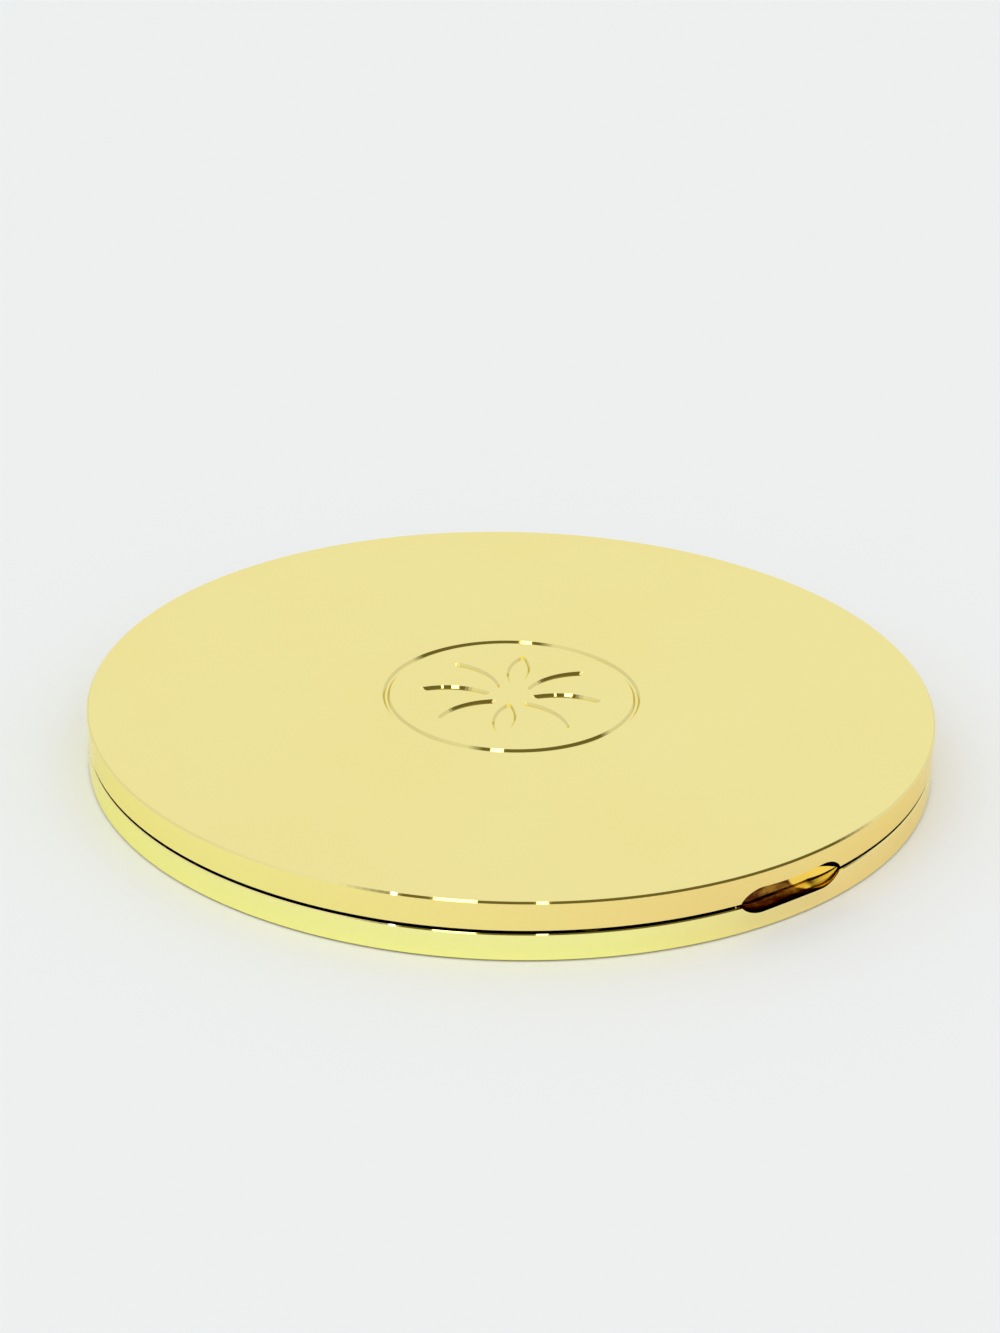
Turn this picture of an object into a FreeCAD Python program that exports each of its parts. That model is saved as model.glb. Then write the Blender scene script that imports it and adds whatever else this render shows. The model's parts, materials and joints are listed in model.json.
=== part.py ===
# Round compact mirror, closed and lying flat. Millimetres, +Z up, origin on the case's axis at the table.
# Two shallow plated shells meet at a thin open line. A barrel hinge is let into the back (+Y) and a
# scoop for the thumbnail into the front (-Y). The lid holds a plain mirror, the base a magnifying one.
import FreeCAD, Part
import math
import os
import Sketcher

doc = FreeCAD.newDocument("compact_mirror")
vector = FreeCAD.Vector

# Sizes that can be set by themselves, in millimetres and degrees
sizes = {
    # case
    "case_radius": 35.0,
    "rim_width": 4.0,
    "outer_bevel": 0.15,
    "parting_bevel": 0.08,
    "closing_gap": 0.25,
    "lid_skin": 0.9,
    "base_skin": 0.58,
    # mirrors and what holds them
    "adhesive_depth": 0.12,
    "plain_glass": 1.0,
    "plain_bevel": 0.2,
    "magnifier_glass": 0.8,
    "magnifier_curve": 1200.0,
    "mirror_play": 0.1,
    "bezel_skirt": 0.5,
    "bezel_lip": 0.3,
    "bezel_overlap": 0.8,
    "bezel_set_back": 0.12,
    "bezel_bevel": 0.12,
    "seat_fit": 0.02,
    # hinge
    "barrel_radius": 1.05,
    "barrel_play": 0.2,
    "lid_knuckle": 9.0,
    "knuckle_play": 0.15,
    "relief_margin": 0.25,
    "pin_radius": 0.45,
    "pin_play": 0.04,
    "pin_seat": 0.005,
    "pin_set_back": 0.1,
    "open_angle": 130.0,
    "stop_margin": 1.0,
    # thumb scoop
    "scoop_length": 10.75,
    "scoop_radius": 1.25,
    "scoop_end_round": 3.0,
    "scoop_set_in": 0.75,
    "scoop_lift": 0.1,
    # closing magnets and bumpers
    "magnet_radius": 1.2,
    "magnet_depth": 1.0,
    "magnet_space": 2.9,
    "bumper_radius": 1.0,
    "bumper_seat": 0.3,
    "bumper_play": 0.02,
    "bumper_space": 3.5,
    # engraving on the lid
    "ring_radius": 10.4,
    "ring_width": 0.6,
    "ring_floor": 0.2,
    "ring_depth": 0.2,
}
sheet = doc.addObject("Spreadsheet::Sheet", "Sizes")
for row, (alias, number) in enumerate(sizes.items(), start=1):
    sheet.set(f"A{row}", str(number))
    sheet.setAlias(f"A{row}", alias)
doc.recompute()

# Sizes that follow from them. Heights run up from the table.
derived = doc.addObject("App::VarSet", "Derived")
follows = {
    "pocket_radius": "Sizes.case_radius - Sizes.rim_width",
    "bezel_radius": "Derived.pocket_radius - Sizes.seat_fit",
    "skirt_inside": "Derived.bezel_radius - Sizes.bezel_skirt",
    "mirror_radius": "Derived.skirt_inside - Sizes.mirror_play",
    "lip_inside": "Derived.mirror_radius - Sizes.bezel_overlap",
    "magnifier_sag": "Sizes.magnifier_curve - sqrt(Sizes.magnifier_curve ^ 2 - Derived.mirror_radius ^ 2)",
    "magnifier_back": "Sizes.base_skin + Sizes.adhesive_depth",
    "magnifier_face": "Derived.magnifier_back + Sizes.magnifier_glass",
    "base_lip_seat": "Derived.magnifier_face + Derived.magnifier_sag",
    "base_lip_face": "Derived.base_lip_seat + Sizes.bezel_lip",
    "base_top": "Derived.base_lip_face + Sizes.bezel_set_back",
    "lid_bottom": "Derived.base_top + Sizes.closing_gap",
    "lid_lip_face": "Derived.lid_bottom + Sizes.bezel_set_back",
    "lid_lip_seat": "Derived.lid_lip_face + Sizes.bezel_lip",
    "plain_back": "Derived.lid_lip_seat + Sizes.plain_glass",
    "lid_floor": "Derived.plain_back + Sizes.adhesive_depth",
    "lid_top": "Derived.lid_floor + Sizes.lid_skin",
    "axis_y": "Sizes.case_radius - Sizes.barrel_radius",
    "axis_z": "Derived.base_top + Sizes.closing_gap / 2",
    "relief_half": "sqrt(Sizes.case_radius ^ 2 - Derived.axis_y ^ 2) + Sizes.relief_margin",
    "barrel_half": "Derived.relief_half - Sizes.knuckle_play",
    "lid_knuckle_half": "Sizes.lid_knuckle / 2",
    "base_knuckle_start": "Derived.lid_knuckle_half + Sizes.knuckle_play",
    "stop_angle": "(Sizes.open_angle + Sizes.stop_margin) / 2",
    "scoop_z": "Derived.axis_z + Sizes.scoop_lift",
    "rim_middle": "Sizes.case_radius - Sizes.rim_width / 2",
    "magnet_x": "Sizes.scoop_length / 2 + Sizes.magnet_space + Sizes.magnet_radius",
    "bumper_x": "Derived.magnet_x + Sizes.magnet_radius + Sizes.bumper_space + Sizes.bumper_radius",
    "magnet_y": "-sqrt(Derived.rim_middle ^ 2 - Derived.magnet_x ^ 2)",
    "bumper_y": "-sqrt(Derived.rim_middle ^ 2 - Derived.bumper_x ^ 2)",
    "back_curve": "Sizes.magnifier_curve + Sizes.magnifier_glass",
}
for name, rule in follows.items():
    derived.addProperty("App::PropertyFloat", name)
    derived.setExpression(name, rule)
    doc.recompute()


def value(rule):
    return float(derived.evalExpression(rule))


def new_body(label):
    return doc.addObject("PartDesign::Body", label)


def new_sketch(body, name, role, offset=None):
    sketch = body.newObject("Sketcher::SketchObject", name)
    plane = [item for item in body.Origin.OriginFeatures if item.Role == role][0]
    sketch.AttachmentSupport = [(plane, "")]
    sketch.MapMode = "FlatFace"
    for axis, rule in (offset or {}).items():
        sketch.setExpression(f"AttachmentOffset.Base.{axis}", rule)
    return sketch


def bind(sketch, constraint, rule):
    index = sketch.addConstraint(constraint)
    sketch.setExpression(f"Constraints[{index}]", rule)


def pin_point(sketch, shape, point, x, y):
    bind(sketch, Sketcher.Constraint("DistanceX", shape, point, value(x)), x)
    bind(sketch, Sketcher.Constraint("DistanceY", shape, point, value(y)), y)


# A closed outline of straight lines through the given corners
def draw_outline(sketch, corners):
    places = [vector(value(x), value(y), 0) for x, y in corners]
    count = len(places)
    for i in range(count):
        sketch.addGeometry(Part.LineSegment(places[i], places[(i + 1) % count]), False)
    for i in range(count):
        sketch.addConstraint(Sketcher.Constraint("Coincident", i, 2, (i + 1) % count, 1))
    for i, (x, y) in enumerate(corners):
        pin_point(sketch, i, 1, x, y)


def draw_circle(sketch, x, y, radius):
    middle = vector(value(x), value(y), 0)
    shape = sketch.addGeometry(Part.Circle(middle, vector(0, 0, 1), value(radius)), False)
    pin_point(sketch, shape, 3, x, y)
    bind(sketch, Sketcher.Constraint("Radius", shape, value(radius)), radius)


def turn(body, sketch, kind="PartDesign::Revolution", axis="V_Axis"):
    feature = body.newObject(kind, sketch.Name + "_turn")
    feature.Profile = sketch
    feature.ReferenceAxis = (sketch, [axis])
    feature.Angle = 360
    doc.recompute()
    return feature


def extrude(body, sketch, kind, length, reverse=False):
    feature = body.newObject(kind, sketch.Name + "_run")
    feature.Profile = sketch
    feature.Reversed = reverse
    feature.setExpression("Length", length)
    doc.recompute()
    return feature


# Edges of the shape so far that are whole circles round the case's axis
def circle_edges(shape, places):
    wanted = [(value(radius), value(height)) for radius, height in places]
    names = []
    for number, edge in enumerate(shape.Edges, start=1):
        box = edge.BoundBox
        if box.ZLength > 1e-6 or abs(box.XLength - box.YLength) > 1e-6:
            continue
        for radius, height in wanted:
            if abs(box.XMax - radius) < 1e-6 and abs(box.ZMin - height) < 1e-6:
                names.append(f"Edge{number}")
    return names


def bevel(body, name, places, sizing):
    before = body.Tip
    edges = circle_edges(before.Shape, places)
    feature = body.newObject("PartDesign::Chamfer", name)
    feature.Base = (before, edges)
    feature.setExpression("Size", sizing)
    doc.recompute()


# What both shells share at the back: a wedge of relief behind the hinge's axis, whose two faces are
# the stop that the open lid comes to, and the bore for the pin
def cut_relief(body, name):
    sketch = new_sketch(body, name + "_relief", "YZ_Plane", {"z": "Derived.relief_half"})
    reach = "(2 * Sizes.barrel_radius)"
    rise = f"{reach} * tan(Derived.stop_angle)"
    corners = [
        ("Derived.axis_y", "Derived.axis_z"),
        (f"Derived.axis_y + {reach}", f"Derived.axis_z - {rise}"),
        (f"Derived.axis_y + {reach}", f"Derived.axis_z + {rise}"),
    ]
    draw_outline(sketch, corners)
    extrude(body, sketch, "PartDesign::Pocket", "2 * Derived.relief_half")


# Room for the other half's knuckles, from the right end towards -X
def cut_knuckle_room(body, name, right_end, length):
    sketch = new_sketch(body, name, "YZ_Plane", {"z": right_end})
    draw_circle(sketch, "Derived.axis_y", "Derived.axis_z", "Sizes.barrel_radius + Sizes.barrel_play")
    extrude(body, sketch, "PartDesign::Pocket", length)


def add_knuckle(body, name, left_end, length):
    sketch = new_sketch(body, name, "YZ_Plane", {"z": left_end})
    draw_circle(sketch, "Derived.axis_y", "Derived.axis_z", "Sizes.barrel_radius")
    extrude(body, sketch, "PartDesign::Pad", length)


def cut_bore(body, name, radius):
    sketch = new_sketch(body, name + "_bore", "YZ_Plane", {"z": "Derived.relief_half"})
    draw_circle(sketch, "Derived.axis_y", "Derived.axis_z", radius)
    extrude(body, sketch, "PartDesign::Pocket", "2 * Derived.relief_half")


# Half of the scoop's section, turned about a line just inside the rim: straight in the middle, with a
# wide round at each end that runs out to a point on the line
def cut_scoop(body, name):
    place = {"y": "Sizes.scoop_set_in - Sizes.case_radius", "z": "Derived.scoop_z"}
    sketch = new_sketch(body, name + "_scoop", "XY_Plane", place)
    run_out = "sqrt(2 * Sizes.scoop_end_round * Sizes.scoop_radius - Sizes.scoop_radius ^ 2)"
    straight = f"(Sizes.scoop_length / 2 - {run_out})"
    sink = "Sizes.scoop_radius - Sizes.scoop_end_round"
    deep = value("Sizes.scoop_radius")
    wide = value("Sizes.scoop_end_round")
    half = value("Sizes.scoop_length / 2")
    inner = value(straight)
    rise = math.asin((wide - deep) / wide)
    right = Part.Circle(vector(inner, deep - wide, 0), vector(0, 0, 1), wide)
    left = Part.Circle(vector(-inner, deep - wide, 0), vector(0, 0, 1), wide)
    sketch.addGeometry(Part.LineSegment(vector(-half, 0, 0), vector(half, 0, 0)), False)
    sketch.addGeometry(Part.ArcOfCircle(right, rise, math.pi / 2), False)
    sketch.addGeometry(Part.LineSegment(vector(inner, deep, 0), vector(-inner, deep, 0)), False)
    sketch.addGeometry(Part.ArcOfCircle(left, math.pi / 2, math.pi - rise), False)
    for first, second in ((0, 1), (1, 2), (2, 3), (3, 0)):
        sketch.addConstraint(Sketcher.Constraint("Coincident", first, 2, second, 1))
    pin_point(sketch, 1, 3, straight, sink)
    pin_point(sketch, 3, 3, f"-{straight}", sink)
    bind(sketch, Sketcher.Constraint("Radius", 1, wide), "Sizes.scoop_end_round")
    bind(sketch, Sketcher.Constraint("Radius", 3, wide), "Sizes.scoop_end_round")
    bind(sketch, Sketcher.Constraint("DistanceY", 0, 1, 0), "0")
    bind(sketch, Sketcher.Constraint("DistanceY", 0, 2, 0), "0")
    sketch.addConstraint(Sketcher.Constraint("Vertical", 1, 3, 1, 2))
    sketch.addConstraint(Sketcher.Constraint("Vertical", 3, 3, 3, 1))
    turn(body, sketch, "PartDesign::Groove", "H_Axis")


# Two round seats in the rim's face, one each side of the scoop
def cut_seats(body, name, height, kind, radius, depth, upward=False):
    sketch = new_sketch(body, name, "XY_Plane", {"z": height})
    for side in ("-", ""):
        draw_circle(sketch, f"{side}Derived.{kind}_x", f"Derived.{kind}_y", radius)
    extrude(body, sketch, "PartDesign::Pocket", depth, upward)


def add_disc(label, side, kind, low, radius, height):
    disc = doc.addObject("Part::Cylinder", label)
    disc.setExpression("Radius", radius)
    disc.setExpression("Height", height)
    disc.setExpression("Placement.Base.x", f"{side}Derived.{kind}_x")
    disc.setExpression("Placement.Base.y", f"Derived.{kind}_y")
    disc.setExpression("Placement.Base.z", low)
    return disc


# Base shell
base_shell = new_body("base_shell")
section = new_sketch(base_shell, "base_section", "XZ_Plane")
draw_outline(section, [
    ("0", "0"),
    ("Sizes.case_radius", "0"),
    ("Sizes.case_radius", "Derived.base_top"),
    ("Derived.pocket_radius", "Derived.base_top"),
    ("Derived.pocket_radius", "Sizes.base_skin"),
    ("0", "Sizes.base_skin"),
])
turn(base_shell, section)
bevel(base_shell, "base_foot_bevel", [("Sizes.case_radius", "0")], "Sizes.outer_bevel")
bevel(base_shell, "base_parting_bevel", [("Sizes.case_radius", "Derived.base_top")], "Sizes.parting_bevel")
cut_relief(base_shell, "base")
cut_knuckle_room(base_shell, "base_room", "Derived.base_knuckle_start", "2 * Derived.base_knuckle_start")
base_knuckle = "Derived.barrel_half - Derived.base_knuckle_start"
add_knuckle(base_shell, "base_knuckle_right", "Derived.base_knuckle_start", base_knuckle)
add_knuckle(base_shell, "base_knuckle_left", "-Derived.barrel_half", base_knuckle)
cut_bore(base_shell, "base", "Sizes.pin_radius + Sizes.pin_seat")
cut_scoop(base_shell, "base")
cut_seats(base_shell, "base_magnet_seats", "Derived.base_top", "magnet",
          "Sizes.magnet_radius + Sizes.seat_fit", "Sizes.magnet_depth")
cut_seats(base_shell, "bumper_seats", "Derived.base_top", "bumper",
          "Sizes.bumper_radius + Sizes.seat_fit", "Sizes.bumper_seat")

# Lid shell
lid_shell = new_body("lid_shell")
section = new_sketch(lid_shell, "lid_section", "XZ_Plane")
draw_outline(section, [
    ("0", "Derived.lid_floor"),
    ("Derived.pocket_radius", "Derived.lid_floor"),
    ("Derived.pocket_radius", "Derived.lid_bottom"),
    ("Sizes.case_radius", "Derived.lid_bottom"),
    ("Sizes.case_radius", "Derived.lid_top"),
    ("0", "Derived.lid_top"),
])
turn(lid_shell, section)
bevel(lid_shell, "lid_top_bevel", [("Sizes.case_radius", "Derived.lid_top")], "Sizes.outer_bevel")
bevel(lid_shell, "lid_parting_bevel", [("Sizes.case_radius", "Derived.lid_bottom")], "Sizes.parting_bevel")
cut_relief(lid_shell, "lid")
lid_room = "Derived.relief_half - Derived.lid_knuckle_half"
cut_knuckle_room(lid_shell, "lid_room_right", "Derived.relief_half", lid_room)
cut_knuckle_room(lid_shell, "lid_room_left", "-Derived.lid_knuckle_half", lid_room)
add_knuckle(lid_shell, "lid_knuckle_middle", "-Derived.lid_knuckle_half", "Sizes.lid_knuckle")
cut_bore(lid_shell, "lid", "Sizes.pin_radius + Sizes.pin_play")
cut_scoop(lid_shell, "lid")
cut_seats(lid_shell, "lid_magnet_seats", "Derived.lid_bottom", "magnet",
          "Sizes.magnet_radius + Sizes.seat_fit", "Sizes.magnet_depth", True)

# Ring engraved in the lid's top
ring = new_sketch(lid_shell, "lid_ring", "XZ_Plane")
draw_outline(ring, [
    ("Sizes.ring_radius - Sizes.ring_width / 2", "Derived.lid_top"),
    ("Sizes.ring_radius - Sizes.ring_floor / 2", "Derived.lid_top - Sizes.ring_depth"),
    ("Sizes.ring_radius + Sizes.ring_floor / 2", "Derived.lid_top - Sizes.ring_depth"),
    ("Sizes.ring_radius + Sizes.ring_width / 2", "Derived.lid_top"),
])
turn(lid_shell, ring, "PartDesign::Groove")

# Plain mirror in the lid, on its adhesive disc and behind its bezel
lid_mirror = new_body("lid_mirror")
section = new_sketch(lid_mirror, "plain_section", "XZ_Plane")
draw_outline(section, [
    ("0", "Derived.lid_lip_seat"),
    ("Derived.mirror_radius", "Derived.lid_lip_seat"),
    ("Derived.mirror_radius", "Derived.plain_back"),
    ("0", "Derived.plain_back"),
])
turn(lid_mirror, section)
bevel(lid_mirror, "plain_edge", [("Derived.mirror_radius", "Derived.lid_lip_seat")], "Sizes.plain_bevel")
lid_mirror_adhesive = new_body("lid_mirror_adhesive")
section = new_sketch(lid_mirror_adhesive, "lid_adhesive_section", "XZ_Plane")
draw_outline(section, [
    ("0", "Derived.plain_back"),
    ("Derived.mirror_radius", "Derived.plain_back"),
    ("Derived.mirror_radius", "Derived.lid_floor"),
    ("0", "Derived.lid_floor"),
])
turn(lid_mirror_adhesive, section)
lid_bezel = new_body("lid_bezel")
section = new_sketch(lid_bezel, "lid_bezel_section", "XZ_Plane")
draw_outline(section, [
    ("Derived.lip_inside", "Derived.lid_lip_face"),
    ("Derived.bezel_radius", "Derived.lid_lip_face"),
    ("Derived.bezel_radius", "Derived.lid_floor"),
    ("Derived.skirt_inside", "Derived.lid_floor"),
    ("Derived.skirt_inside", "Derived.lid_lip_seat"),
    ("Derived.lip_inside", "Derived.lid_lip_seat"),
])
turn(lid_bezel, section)
bevel(lid_bezel, "lid_bezel_bevel", [("Derived.lip_inside", "Derived.lid_lip_face")], "Sizes.bezel_bevel")


# A ball whose lowest point is on the case's axis. Its poles lie along X, away from the glass.
def add_ball(label, radius, low):
    ball = doc.addObject("Part::Sphere", label)
    ball.Placement = FreeCAD.Placement(vector(0, 0, 0), FreeCAD.Rotation(vector(0, 1, 0), -90))
    ball.setExpression("Radius", radius)
    ball.setExpression("Placement.Base.z", f"{low} + {radius}")
    return ball


def add_blank(label, low, high):
    blank = doc.addObject("Part::Cylinder", label)
    blank.setExpression("Radius", "Derived.mirror_radius")
    blank.setExpression("Height", f"{high} - {low}")
    blank.setExpression("Placement.Base.z", low)
    return blank


def combine(kind, label, first, second):
    result = doc.addObject(kind, label)
    result.Base = first
    result.Tool = second
    doc.recompute()
    return result


# Magnifying mirror in the base, hollow on top. Both faces share one centre, so the glass is even.
# Its adhesive disc is hollow to the glass's back.
face_ball = add_ball("face_ball", "Sizes.magnifier_curve", "Derived.magnifier_face")
back_ball = add_ball("back_ball", "Derived.back_curve", "Derived.magnifier_back")
glass_blank = add_blank("glass_blank", "Sizes.base_skin", "Derived.base_lip_seat")
bowl = doc.addObject("Part::MultiCommon", "magnifier_bowl")
bowl.Shapes = [glass_blank, back_ball]
doc.recompute()
base_mirror = combine("Part::Cut", "base_mirror", bowl, face_ball)
adhesive_blank = add_blank("adhesive_blank", "Sizes.base_skin", "Derived.base_lip_seat")
base_mirror_adhesive = combine("Part::Cut", "base_mirror_adhesive", adhesive_blank, back_ball)

base_bezel = new_body("base_bezel")
section = new_sketch(base_bezel, "base_bezel_section", "XZ_Plane")
draw_outline(section, [
    ("Derived.skirt_inside", "Sizes.base_skin"),
    ("Derived.bezel_radius", "Sizes.base_skin"),
    ("Derived.bezel_radius", "Derived.base_lip_face"),
    ("Derived.lip_inside", "Derived.base_lip_face"),
    ("Derived.lip_inside", "Derived.base_lip_seat"),
    ("Derived.skirt_inside", "Derived.base_lip_seat"),
])
turn(base_bezel, section)
bevel(base_bezel, "base_bezel_bevel", [("Derived.lip_inside", "Derived.base_lip_face")], "Sizes.bezel_bevel")

# Hinge pin along X
hinge_pin = doc.addObject("Part::Cylinder", "hinge_pin")
hinge_pin.Placement = FreeCAD.Placement(vector(0, 0, 0), FreeCAD.Rotation(vector(0, 1, 0), 90))
hinge_pin.setExpression("Radius", "Sizes.pin_radius")
hinge_pin.setExpression("Height", "2 * (Derived.barrel_half - Sizes.pin_set_back)")
hinge_pin.setExpression("Placement.Base.x", "Sizes.pin_set_back - Derived.barrel_half")
hinge_pin.setExpression("Placement.Base.y", "Derived.axis_y")
hinge_pin.setExpression("Placement.Base.z", "Derived.axis_z")

# Magnets flush with the rims' faces, and the bumpers that the lid comes down on
pieces = [base_shell, lid_shell, lid_mirror, lid_mirror_adhesive, lid_bezel]
pieces += [base_mirror, base_mirror_adhesive, base_bezel, hinge_pin]
bumper_height = "Sizes.bumper_seat + Sizes.closing_gap - Sizes.bumper_play"
for side_name, side in (("left", "-"), ("right", "")):
    pieces.append(add_disc(f"lid_magnet_{side_name}", side, "magnet", "Derived.lid_bottom",
                           "Sizes.magnet_radius", "Sizes.magnet_depth"))
    pieces.append(add_disc(f"base_magnet_{side_name}", side, "magnet",
                           "Derived.base_top - Sizes.magnet_depth", "Sizes.magnet_radius", "Sizes.magnet_depth"))
    pieces.append(add_disc(f"bumper_{side_name}", side, "bumper",
                           "Derived.base_top - Sizes.bumper_seat", "Sizes.bumper_radius", bumper_height))
doc.recompute()

# Every object is sound before anything is written
for item in doc.Objects:
    if "Invalid" in item.State or "Error" in item.State:
        raise RuntimeError(f"{item.Label} is not sound: {item.State}")
for piece in pieces:
    if piece.Shape.isNull() or not piece.Shape.isValid() or len(piece.Shape.Solids) != 1:
        raise RuntimeError(f"{piece.Label} has no sound solid")
os.makedirs("parts", exist_ok=True)
for piece in pieces:
    piece.Shape.exportStep(f"parts/{piece.Label}.step")
    print(piece.Label, round(piece.Shape.Volume, 3), piece.Shape.BoundBox)
print("axis", derived.axis_y, derived.axis_z, "base top", derived.base_top, "lid top", derived.lid_top)
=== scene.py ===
import json
import math

import bmesh
import bpy
from mathutils import Matrix, Vector


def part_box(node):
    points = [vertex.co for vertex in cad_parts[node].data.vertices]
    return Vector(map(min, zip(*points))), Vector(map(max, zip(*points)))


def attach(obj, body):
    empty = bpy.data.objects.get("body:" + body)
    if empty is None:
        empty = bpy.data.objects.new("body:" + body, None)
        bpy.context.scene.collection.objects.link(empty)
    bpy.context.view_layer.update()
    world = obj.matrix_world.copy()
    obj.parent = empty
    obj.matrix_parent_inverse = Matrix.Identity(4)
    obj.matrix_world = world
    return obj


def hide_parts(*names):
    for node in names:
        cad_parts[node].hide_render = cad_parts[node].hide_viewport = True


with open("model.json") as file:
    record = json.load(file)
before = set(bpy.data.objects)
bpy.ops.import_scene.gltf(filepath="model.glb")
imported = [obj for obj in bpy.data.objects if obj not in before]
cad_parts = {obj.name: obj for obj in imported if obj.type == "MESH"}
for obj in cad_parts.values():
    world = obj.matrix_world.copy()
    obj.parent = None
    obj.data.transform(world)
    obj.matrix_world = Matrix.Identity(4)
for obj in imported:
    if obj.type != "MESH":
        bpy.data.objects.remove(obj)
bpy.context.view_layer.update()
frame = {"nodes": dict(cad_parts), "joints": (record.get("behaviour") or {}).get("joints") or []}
mm = 0.001
print("frame loaded:", len(frame["nodes"]), "nodes")

# Heights and radii that the whole case shares, read off the CAD
hinge = Vector(frame["joints"][0]["pos_m"])
clearance = 0.02 * mm
case = {
    "radius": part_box("lid_shell")[1].x,
    "pocket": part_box("lid_bezel")[1].x + clearance,
    "baseFloor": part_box("base_bezel")[0].z,
    "baseTop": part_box("base_magnet_left")[1].z,
    "lidBottom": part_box("lid_magnet_left")[0].z,
    "lidFloor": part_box("lid_bezel")[1].z,
    "lidTop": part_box("lid_shell")[1].z,
    "glass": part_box("lid_mirror")[1].x,
    "discEdge": 29 * mm,  # inside this, a floor is one flat face
    "turnSteps": 360,
}

# How near counts as the same place, in metres
near = {"seam": 1e-7, "scoopSeam": 2e-7, "petalSeam": 1e-6, "level": 1e-6, "ring": 2e-6}


# Mesh helpers

def sweep(bm, geom, centre, axis, angle, steps, whole=False):
    return bmesh.ops.spin(bm, geom=geom, cent=centre, axis=axis, dvec=(0, 0, 0), angle=angle, steps=steps,
                          use_merge=whole, use_duplicate=False)


def turnRound(bm, steps, centre=(0, 0, 0), axis=(0, 0, 1), seam=near["seam"]):
    # all that is drawn so far, turned once about an axis: the case's own, unless told
    sweep(bm, bm.verts[:] + bm.edges[:], centre, axis, math.tau, steps, whole=True)
    bmesh.ops.remove_doubles(bm, verts=bm.verts, dist=seam)
    bmesh.ops.recalc_face_normals(bm, faces=bm.faces)


def turnProfile(corners, loop=False):
    # a wire of (radius, height) corners, turned once round the case
    bm = bmesh.new()
    verts = [bm.verts.new((radius, 0, height)) for radius, height in corners]
    for pair in zip(verts, verts[1:]):
        bm.edges.new(pair)
    if loop:
        bm.edges.new((verts[-1], verts[0]))
    turnRound(bm, case["turnSteps"])
    return bm


def vertsIn(geom):
    return [item for item in geom if isinstance(item, bmesh.types.BMVert)]


def closeDiscs(bm):
    # every open ring is closed by one flat face
    bmesh.ops.edgeloop_fill(bm, edges=[edge for edge in bm.edges if edge.is_boundary])
    bmesh.ops.recalc_face_normals(bm, faces=bm.faces)


def roundEdges(bm, edges, width, segments=3):
    bmesh.ops.bevel(bm, geom=edges, offset=width, offset_type="OFFSET", segments=segments, profile=0.5,
                    affect="EDGES", material=-1)


def softenRing(bm, radius, height, width, segments=3):
    # one segment makes a flat facet, more make a rounding
    def onRing(vert):
        return abs(vert.co.xy.length - radius) < near["ring"] and abs(vert.co.z - height) < near["ring"]
    ring = [edge for edge in bm.edges if onRing(edge.verts[0]) and onRing(edge.verts[1])]
    roundEdges(bm, ring, width, segments)


def addRod(bm, radius, length, matrix, steps=48, soften=0.0):
    # a round rod along the matrix's Z, its ends softened where asked
    made = bmesh.ops.create_cone(bm, cap_ends=True, segments=steps, radius1=radius, radius2=radius,
                                 depth=length, matrix=matrix)
    if soften:
        # only the two end faces have more than four corners
        rims = [edge for edge in bm.edges if edge.verts[0] in made["verts"] and len(edge.link_faces) == 2
                and max(len(face.verts) for face in edge.link_faces) > 4]
        roundEdges(bm, rims, soften)


def asObject(bm, name):
    mesh = bpy.data.meshes.new(name)
    bm.to_mesh(mesh)
    bm.free()
    piece = bpy.data.objects.new(name, mesh)
    bpy.context.scene.collection.objects.link(piece)
    return piece


def carve(piece, bm, how="DIFFERENCE"):
    # cuts or joins a bmesh, which is used up
    tool = asObject(bm, piece.name + "Tool")
    step = piece.modifiers.new("carve", "BOOLEAN")
    step.operation = how
    step.solver = "EXACT"
    step.object = tool
    result = bpy.data.meshes.new_from_object(piece.evaluated_get(bpy.context.evaluated_depsgraph_get()))
    piece.modifiers.clear()
    before = piece.data
    piece.data = result
    bpy.data.meshes.remove(before)
    toolMesh = tool.data
    bpy.data.objects.remove(tool)
    bpy.data.meshes.remove(toolMesh)
    piece.data.name = piece.name


def shade(piece, sharpAngle=32):
    piece.data.polygons.foreach_set("use_smooth", [True] * len(piece.data.polygons))
    piece.data.set_sharp_from_angle(angle=math.radians(sharpAngle))
    weighted = piece.modifiers.new("flatFaces", "WEIGHTED_NORMAL")
    weighted.keep_sharp = True
    weighted.weight = 100


def settle(piece, body, node, material):
    # the finished piece takes a CAD node's place on its body
    shade(piece)
    piece.data.materials.clear()
    piece.data.materials.append(material)
    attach(piece, body)
    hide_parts(node)


# Material helpers

def newMaterial(name):
    material = bpy.data.materials.new(name)
    material.use_nodes = True
    tree = material.node_tree
    return material, tree, tree.nodes["Principled BSDF"]


def addNode(tree, kind, **values):
    node = tree.nodes.new(kind)
    for name, value in values.items():
        setattr(node, name, value)
    return node


def feed(tree, value, socket):
    # a socket takes another node's output or a fixed value
    if isinstance(value, bpy.types.NodeSocket):
        tree.links.new(value, socket)
    else:
        socket.default_value = value


def objectPlace(tree):
    return addNode(tree, "ShaderNodeTexCoord").outputs["Object"]


def addNoise(tree, vector, scale=1.0, detail=3.0, rough=0.5):
    noise = addNode(tree, "ShaderNodeTexNoise")
    feed(tree, scale, noise.inputs["Scale"])
    feed(tree, detail, noise.inputs["Detail"])
    feed(tree, rough, noise.inputs["Roughness"])
    feed(tree, vector, noise.inputs["Vector"])
    return noise.outputs["Fac"]


def addRange(tree, value, source, target=(0, 1)):
    ranged = addNode(tree, "ShaderNodeMapRange")
    names = ("From Min", "From Max", "To Min", "To Max")
    for name, number in zip(names, source + target):
        feed(tree, number, ranged.inputs[name])
    feed(tree, value, ranged.inputs["Value"])
    return ranged.outputs["Result"]


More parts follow.
